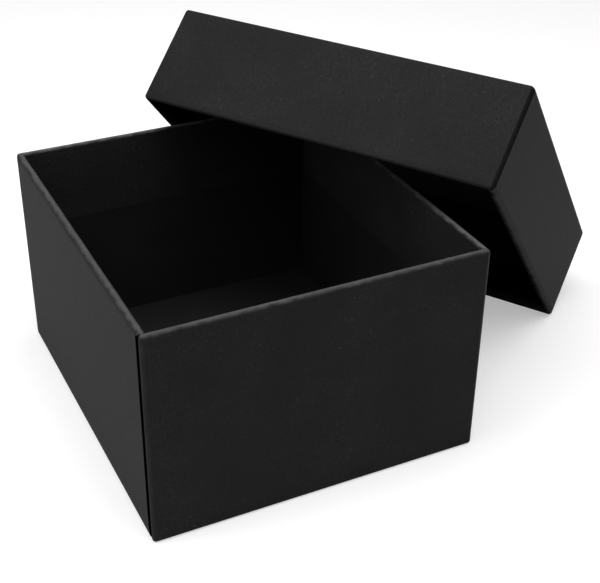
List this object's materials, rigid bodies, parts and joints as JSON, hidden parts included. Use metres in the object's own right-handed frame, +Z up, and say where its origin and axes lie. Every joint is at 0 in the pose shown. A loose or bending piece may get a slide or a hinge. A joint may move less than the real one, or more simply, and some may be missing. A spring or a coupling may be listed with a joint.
{
  "type": "lidded box",
  "caption": "Rigid paper-covered board box with an open tray and a deep lift-off lid that stands beside it, leaning on the tray's back corner.",
  "frame": {"origin": "centre of the base's underside, on the surface that the box stands on", "axes": "+Z up, +X to the right of the base and -Y towards its front"},
  "size_m": [0.2935, 0.2547, 0.1613],
  "materials": {
    "covering_paper": "black, fine-grained, matt",
    "lining_paper": "black, smooth, matt",
    "board": "grey, raw",
    "stay_paper": "brown, gummed"
  },
  "bodies": {
    "base": {"base_bottom_board": "board", "base_front_board": "board", "base_back_board": "board", "base_left_board": "board", "base_right_board": "board", "base_front_left_stay": "stay_paper", "base_front_right_stay": "stay_paper", "base_back_left_stay": "stay_paper", "base_back_right_stay": "stay_paper", "base_floor_lining": "lining_paper", "base_front_lining": "lining_paper", "base_back_lining": "lining_paper", "base_left_lining": "lining_paper", "base_right_lining": "lining_paper", "base_bottom_wrap": "covering_paper", "base_front_wrap": "covering_paper", "base_back_wrap": "covering_paper", "base_left_wrap": "covering_paper", "base_right_wrap": "covering_paper"},
    "lid": {"lid_top_board": "board", "lid_front_board": "board", "lid_back_board": "board", "lid_left_board": "board", "lid_right_board": "board", "lid_front_left_stay": "stay_paper", "lid_front_right_stay": "stay_paper", "lid_back_left_stay": "stay_paper", "lid_back_right_stay": "stay_paper", "lid_top_lining": "lining_paper", "lid_front_lining": "lining_paper", "lid_back_lining": "lining_paper", "lid_left_lining": "lining_paper", "lid_right_lining": "lining_paper", "lid_top_wrap": "covering_paper", "lid_front_wrap": "covering_paper", "lid_back_wrap": "covering_paper", "lid_left_wrap": "covering_paper", "lid_right_wrap": "covering_paper"}
  },
  "joints": [
    {"name": "lid_lift", "type": "slide", "parent": "base", "child": "lid", "axis": [0, 0, 1], "range_m": [0, 0.12]}
  ]
}
